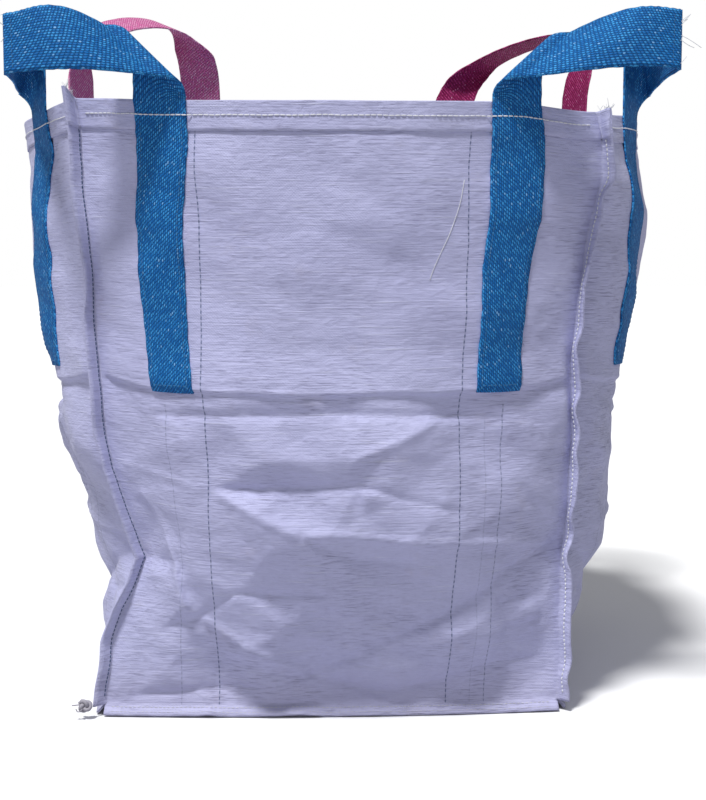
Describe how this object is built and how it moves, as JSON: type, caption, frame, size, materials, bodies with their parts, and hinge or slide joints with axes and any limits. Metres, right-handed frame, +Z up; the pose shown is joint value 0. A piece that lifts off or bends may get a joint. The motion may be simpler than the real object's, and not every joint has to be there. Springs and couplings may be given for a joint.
{
  "type": "bulk bag",
  "caption": "Open-topped woven bulk bag standing full, with sewn corner seams, a folded hem and a webbing lifting loop over each corner.",
  "frame": {"origin": "on the floor under the middle of the base panel", "axes": "+Z up, -Y out through the front panel, +X to the right of someone who faces the front"},
  "size_m": [1.0016, 1.0016, 1.1125],
  "materials": {
    "white_fabric": "woven slit tape, slight sheen",
    "blue_webbing": "coarse woven webbing, slight sheen",
    "pink_webbing": "coarse woven webbing, slight sheen",
    "blue_thread": "sewing yarn",
    "white_thread": "sewing yarn"
  },
  "bodies": {
    "bag": {"front_panel": "white_fabric", "right_panel": "white_fabric", "rear_panel": "white_fabric", "left_panel": "white_fabric", "base_panel": "white_fabric", "front_left_loop_front_leg": "blue_webbing", "front_left_loop_side_leg": "blue_webbing", "front_right_loop_front_leg": "blue_webbing", "front_right_loop_side_leg": "blue_webbing", "rear_right_loop_rear_leg": "pink_webbing", "rear_right_loop_side_leg": "pink_webbing", "rear_left_loop_rear_leg": "pink_webbing", "rear_left_loop_side_leg": "pink_webbing", "front_left_loop_front_leg_stitching": "blue_thread", "front_left_loop_side_leg_stitching": "blue_thread", "front_right_loop_front_leg_stitching": "blue_thread", "front_right_loop_side_leg_stitching": "blue_thread", "rear_right_loop_rear_leg_stitching": "blue_thread", "rear_right_loop_side_leg_stitching": "blue_thread", "rear_left_loop_rear_leg_stitching": "blue_thread", "rear_left_loop_side_leg_stitching": "blue_thread", "front_hem_stitching": "white_thread", "right_hem_stitching": "white_thread", "rear_hem_stitching": "white_thread", "left_hem_stitching": "white_thread", "front_base_stitching": "white_thread", "right_base_stitching": "white_thread", "rear_base_stitching": "white_thread", "left_base_stitching": "white_thread", "front_left_seam_stitching": "blue_thread", "front_right_seam_stitching": "white_thread", "rear_right_seam_stitching": "blue_thread", "rear_left_seam_stitching": "blue_thread", "seam_thread_knot": "white_thread"},
    "front_left_loop_body": {"front_left_loop": "blue_webbing", "front_left_loop_stitching": "white_thread"},
    "front_right_loop_body": {"front_right_loop": "blue_webbing", "front_right_loop_stitching": "white_thread"},
    "rear_right_loop_body": {"rear_right_loop": "pink_webbing", "rear_right_loop_stitching": "white_thread"},
    "rear_left_loop_body": {"rear_left_loop": "pink_webbing", "rear_left_loop_stitching": "white_thread"}
  },
  "joints": [
    {"name": "front_left_loop_swing", "type": "hinge", "parent": "bag", "child": "front_left_loop_body", "pos_m": [-0.3458, -0.3458, 0.9062], "axis": [-0.7071, 0.7071, 0], "range_deg": [-20, 85]},
    {"name": "front_right_loop_swing", "type": "hinge", "parent": "bag", "child": "front_right_loop_body", "pos_m": [0.3458, -0.3458, 0.9062], "axis": [-0.7071, -0.7071, 0], "range_deg": [-20, 85]},
    {"name": "rear_right_loop_swing", "type": "hinge", "parent": "bag", "child": "rear_right_loop_body", "pos_m": [0.3458, 0.3458, 0.9062], "axis": [0.7071, -0.7071, 0], "range_deg": [-75, 30]},
    {"name": "rear_left_loop_swing", "type": "hinge", "parent": "bag", "child": "rear_left_loop_body", "pos_m": [-0.3458, 0.3458, 0.9062], "axis": [0.7071, 0.7071, 0], "range_deg": [-75, 30]}
  ]
}
